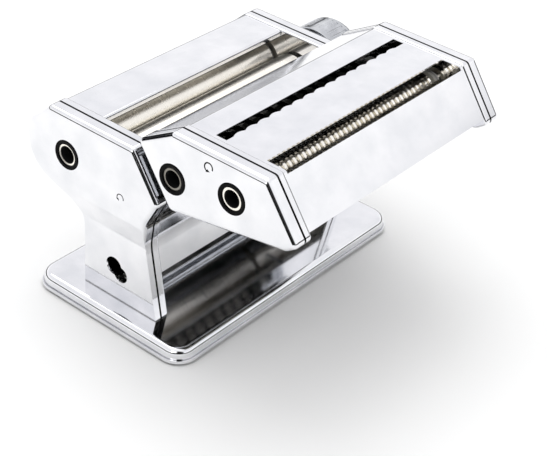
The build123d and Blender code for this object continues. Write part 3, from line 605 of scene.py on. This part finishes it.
piece("roller_turning_mark", curved_arrow((-1.6, 84.9), -91.5, 2.4, 0.55, 200, -20), black_finish,
      "machine")
piece("cutter_turning_mark", curved_arrow((-67.0, 136.2), -94.7, 2.7, 0.8, 200, -60), black_finish,
      "cutter_head")

# %% [markdown]
# ## The regulator knob's spring
#
# Inside the knob a compression spring pushes it towards the plate, so it can be pulled out and
# turned. The imported model only has a sleeve for it, so a real coil replaces the sleeve. It is a tube
# round a helix.

# %% Coil spring
spring_low, spring_high = (np.array(corner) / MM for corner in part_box("knob_spring"))
WIRE_R, TURNS = 0.45, 5


def coil(x_first, x_last, centre, radius):
    """A round wire on a helix: the wire's middle is (x, y + R cos a, z + R sin a), and its section lies
    in the plane of X and the outward direction."""
    share = np.linspace(0, 1, TURNS * 28 + 1)[:, None]
    angle = share * TURNS * 2 * np.pi
    section = np.linspace(0, 2 * np.pi, 10, endpoint=False)
    x = x_first + WIRE_R + share * (x_last - x_first - 2 * WIRE_R) + WIRE_R * np.cos(section)
    r = radius + WIRE_R * np.sin(section)
    return tube(np.stack([x, centre[0] + r * np.cos(angle), centre[1] + r * np.sin(angle)], -1) * MM)


spring_centre = (spring_low[1:] + spring_high[1:]) / 2
spring_radius = (spring_high[1] - spring_low[1]) / 2 - WIRE_R
spring = piece("knob_spring_coil", coil(spring_low[0], spring_high[0], spring_centre, spring_radius),
               spring_finish, "regulator_shaft")
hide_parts("knob_spring")
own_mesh(spring)

# %% [markdown]
# ## Floor and light
#
# Chrome shows what is round it, so the studio matters as much as the metal. A pale floor runs far
# out and fills the side faces with white. Overhead the room is bright, and near the horizon it is
# dark, and so is the opening of the light tent at the front left. Those two draw the dark lines that
# every rounded chrome edge needs. Rays straight from the camera see plain white instead. Two large soft
# lamps give the gradients and a gentle shadow.

# %% Floor, room and lamps
FLOOR_HALF = 14.0


def plain_floor():
    """A square of floor just under the rubber pad, far larger than the camera sees."""
    corners = np.array([(-1, -1), (1, -1), (1, 1), (-1, 1)]) * FLOOR_HALF
    mesh = bpy.data.meshes.new("floor")
    mesh.from_pydata([(x, y, cad_box[0][2] - 0.0002) for x, y in corners.tolist()], [], [(0, 1, 2, 3)])
    made = bpy.data.objects.new("floor", mesh)
    bpy.context.scene.collection.objects.link(made)
    paint, tree, shader, place = new_material("pale_studio_floor")
    cloud = stretched_noise(tree, place, (900, 900, 900), detail=2.0)
    shade = add_node(tree, "ValToRGB", links={"Fac": cloud})
    for stop, position, colour in zip(shade.color_ramp.elements, (NOISE_LOW, NOISE_HIGH),
                                      ("F4F4F3", "F8F8F7")):
        stop.position = position
        stop.color = linear(colour)
    tree.links.new(shade.outputs["Color"], shader.inputs["Base Color"])
    shader.inputs["Roughness"].default_value = 0.9
    shader.inputs["Specular IOR Level"].default_value = 0.1
    mesh.materials.append(paint)


TENT_OPENING = Vector((-0.66, -0.58, 0.36)).normalized()


def studio_room():
    """The room's brightness by height above the horizon: dark at the skirting, then white, a little
    greyer further up and white again overhead. Round the tent's opening it falls to almost nothing:
    the dot product of a direction and the opening's is the cosine of the angle between them, and the
    fall is from 33 to 22 degrees. Camera rays see plain white."""
    world = bpy.data.worlds.new("studio_room")
    world.use_nodes = True
    tree = world.node_tree
    tree.nodes.clear()
    direction = add_node(tree, "TexCoord").outputs["Generated"]
    height = add_node(tree, "SeparateXYZ", links={"Vector": direction}).outputs["Z"]
    ramp = add_node(tree, "ValToRGB", links={"Fac": height})
    steps = ((0.0, "08080A"), (0.19, "101114"), (0.25, "F4F4F6"), (0.34, "FFFFFF"), (0.5, "F0F0F3"),
             (0.64, "E8E8EB"), (1.0, "FFFFFF"))
    for _ in range(len(steps) - 2):
        ramp.color_ramp.elements.new(0.5)
    for stop, (position, colour) in zip(ramp.color_ramp.elements, steps):
        stop.position = position
        stop.color = linear(colour)
    towards = add_node(tree, "VectorMath", {"operation": "DOT_PRODUCT"}, {1: TENT_OPENING},
                       {0: direction}).outputs["Value"]
    dimmed = add_node(tree, "MapRange", {"interpolation_type": "SMOOTHSTEP"},
                      {"From Min": math.cos(math.radians(33)), "From Max": math.cos(math.radians(22)),
                       "To Min": 1.15, "To Max": 0.03}, {"Value": towards}).outputs["Result"]
    seen = add_node(tree, "Background", values={"Color": linear("FFFFFF"), "Strength": 1.0})
    lit = add_node(tree, "Background", links={"Color": ramp.outputs["Color"], "Strength": dimmed})
    ray = add_node(tree, "LightPath").outputs["Is Camera Ray"]
    mixed = add_node(tree, "MixShader", links={0: ray, 1: lit.outputs[0], 2: seen.outputs[0]})
    add_node(tree, "OutputWorld", links={"Surface": mixed.outputs[0]})
    bpy.context.scene.world = world


def soft_lamp(name, place, target, size, watts):
    """A square area lamp at place, turned to target."""
    lamp = bpy.data.lights.new(name, "AREA")
    lamp.size = size
    lamp.energy = watts
    made = bpy.data.objects.new(name, lamp)
    made.location = place
    made.rotation_euler = (Vector(target) - Vector(place)).to_track_quat("-Z", "Y").to_euler()
    bpy.context.scene.collection.objects.link(made)


plain_floor()
studio_room()
soft_lamp("overhead_softbox", (0.3, 0.5, 1.5), (0, 0, 0.05), 1.2, 9)
soft_lamp("side_softbox", (-1.4, -0.5, 0.9), (0, 0, 0.08), 0.8, 3)
bpy.context.scene.view_settings.view_transform = "Standard"
print("stage set")
